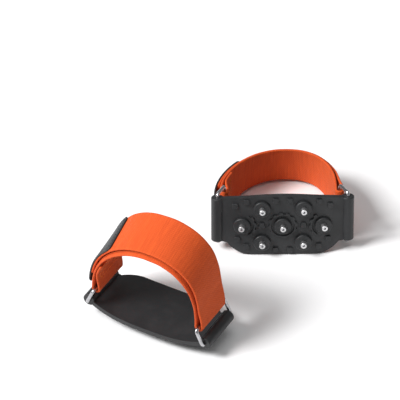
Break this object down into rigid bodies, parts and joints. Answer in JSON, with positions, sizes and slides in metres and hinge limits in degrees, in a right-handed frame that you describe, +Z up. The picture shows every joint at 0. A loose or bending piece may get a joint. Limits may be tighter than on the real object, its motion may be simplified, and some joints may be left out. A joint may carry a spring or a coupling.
{
  "type": "shoe ice cleats",
  "caption": "Pair of mid-foot ice cleats: studded rubber plates with end sleeves, wire rings and a webbing strap closed back on itself over the boot.",
  "frame": {"origin": "tip of the left cleat's centre stud, where it stands on the ground", "axes": "+Z up, -Y towards the left cleat's toe, +X towards its loop ring; the right cleat stands on its heel edge behind"},
  "size_m": [0.1547, 0.2456, 0.1064],
  "materials": {
    "rubber": "matte",
    "stud_steel": "satin",
    "carbide": "satin",
    "ring_steel": "satin",
    "webbing": "matte",
    "loop_fabric": "matte",
    "hook_fabric": "matte",
    "tab": "matte"
  },
  "bodies": {
    "left_tread": {"left_tread_plate": "rubber", "left_stud_1": "stud_steel", "left_stud_pin_1": "carbide", "left_stud_2": "stud_steel", "left_stud_pin_2": "carbide", "left_stud_3": "stud_steel", "left_stud_pin_3": "carbide", "left_stud_4": "stud_steel", "left_stud_pin_4": "carbide", "left_stud_5": "stud_steel", "left_stud_pin_5": "carbide", "left_stud_6": "stud_steel", "left_stud_pin_6": "carbide", "left_stud_7": "stud_steel", "left_stud_pin_7": "carbide"},
    "left_sewn_ring_body": {"left_sewn_ring": "ring_steel"},
    "left_loop_ring_body": {"left_loop_ring": "ring_steel"},
    "left_strap_body": {"left_strap": "webbing", "left_loop_pad": "loop_fabric"},
    "left_strap_end_body": {"left_strap_end": "webbing", "left_hook_pad": "hook_fabric", "left_pull_tab": "tab"},
    "right_tread": {"right_tread_plate": "rubber", "right_stud_1": "stud_steel", "right_stud_pin_1": "carbide", "right_stud_2": "stud_steel", "right_stud_pin_2": "carbide", "right_stud_3": "stud_steel", "right_stud_pin_3": "carbide", "right_stud_4": "stud_steel", "right_stud_pin_4": "carbide", "right_stud_5": "stud_steel", "right_stud_pin_5": "carbide", "right_stud_6": "stud_steel", "right_stud_pin_6": "carbide", "right_stud_7": "stud_steel", "right_stud_pin_7": "carbide"},
    "right_sewn_ring_body": {"right_sewn_ring": "ring_steel"},
    "right_loop_ring_body": {"right_loop_ring": "ring_steel"},
    "right_strap_body": {"right_strap": "webbing", "right_loop_pad": "loop_fabric"},
    "right_strap_end_body": {"right_strap_end": "webbing", "right_hook_pad": "hook_fabric", "right_pull_tab": "tab"}
  },
  "joints": [
    {"name": "left_sewn_ring_swing", "type": "hinge", "parent": "left_tread", "child": "left_sewn_ring_body", "pos_m": [-0.05432, -0.003, 0.01611], "axis": [0, 1, 0], "range_deg": [-8, 8]},
    {"name": "left_strap_swing", "type": "hinge", "parent": "left_sewn_ring_body", "child": "left_strap_body", "pos_m": [-0.04822, -0.003, 0.02981], "axis": [0, 1, 0], "range_deg": [-10, 10]},
    {"name": "left_loop_ring_swing", "type": "hinge", "parent": "left_tread", "child": "left_loop_ring_body", "pos_m": [0.05432, -0.003, 0.01611], "axis": [0, 1, 0], "range_deg": [-8, 8]},
    {"name": "left_strap_end_peel", "type": "hinge", "parent": "left_strap_body", "child": "left_strap_end_body", "pos_m": [0.0129, -0.00904, 0.09944], "axis": [0.024, 0.9406, 0.3386], "range_deg": [0, 100]},
    {"name": "right_sewn_ring_swing", "type": "hinge", "parent": "right_tread", "child": "right_sewn_ring_body", "pos_m": [-0.00564, 0.10534, 0.02917], "axis": [0.0968, -0.1644, -0.9816], "range_deg": [-8, 8]},
    {"name": "right_strap_swing", "type": "hinge", "parent": "right_sewn_ring_body", "child": "right_strap_body", "pos_m": [-0.00721, 0.12003, 0.02656], "axis": [0.0968, -0.1644, -0.9816], "range_deg": [-10, 10]},
    {"name": "right_loop_ring_swing", "type": "hinge", "parent": "right_tread", "child": "right_loop_ring_body", "pos_m": [0.08796, 0.16048, 0.02917], "axis": [0.0968, -0.1644, -0.9816], "range_deg": [-8, 8]},
    {"name": "right_strap_end_peel", "type": "hinge", "parent": "right_strap_body", "child": "right_strap_end_body", "pos_m": [0.01018, 0.21093, 0.0192], "axis": [-0.0569, 0.1439, -0.988], "range_deg": [0, 100]},
    {"name": "right_cleat_lift", "type": "slide", "parent": "left_tread", "child": "right_tread", "axis": [0, 0, 1], "range_m": [0, 0.15]}
  ],
  "couplings": [
    {"joint": "left_strap_swing", "follows": "left_sewn_ring_swing", "ratio": -1.1265},
    {"joint": "left_loop_ring_swing", "follows": "left_sewn_ring_swing", "ratio": 1},
    {"joint": "right_strap_swing", "follows": "right_sewn_ring_swing", "ratio": -1.1265},
    {"joint": "right_loop_ring_swing", "follows": "right_sewn_ring_swing", "ratio": 1}
  ]
}
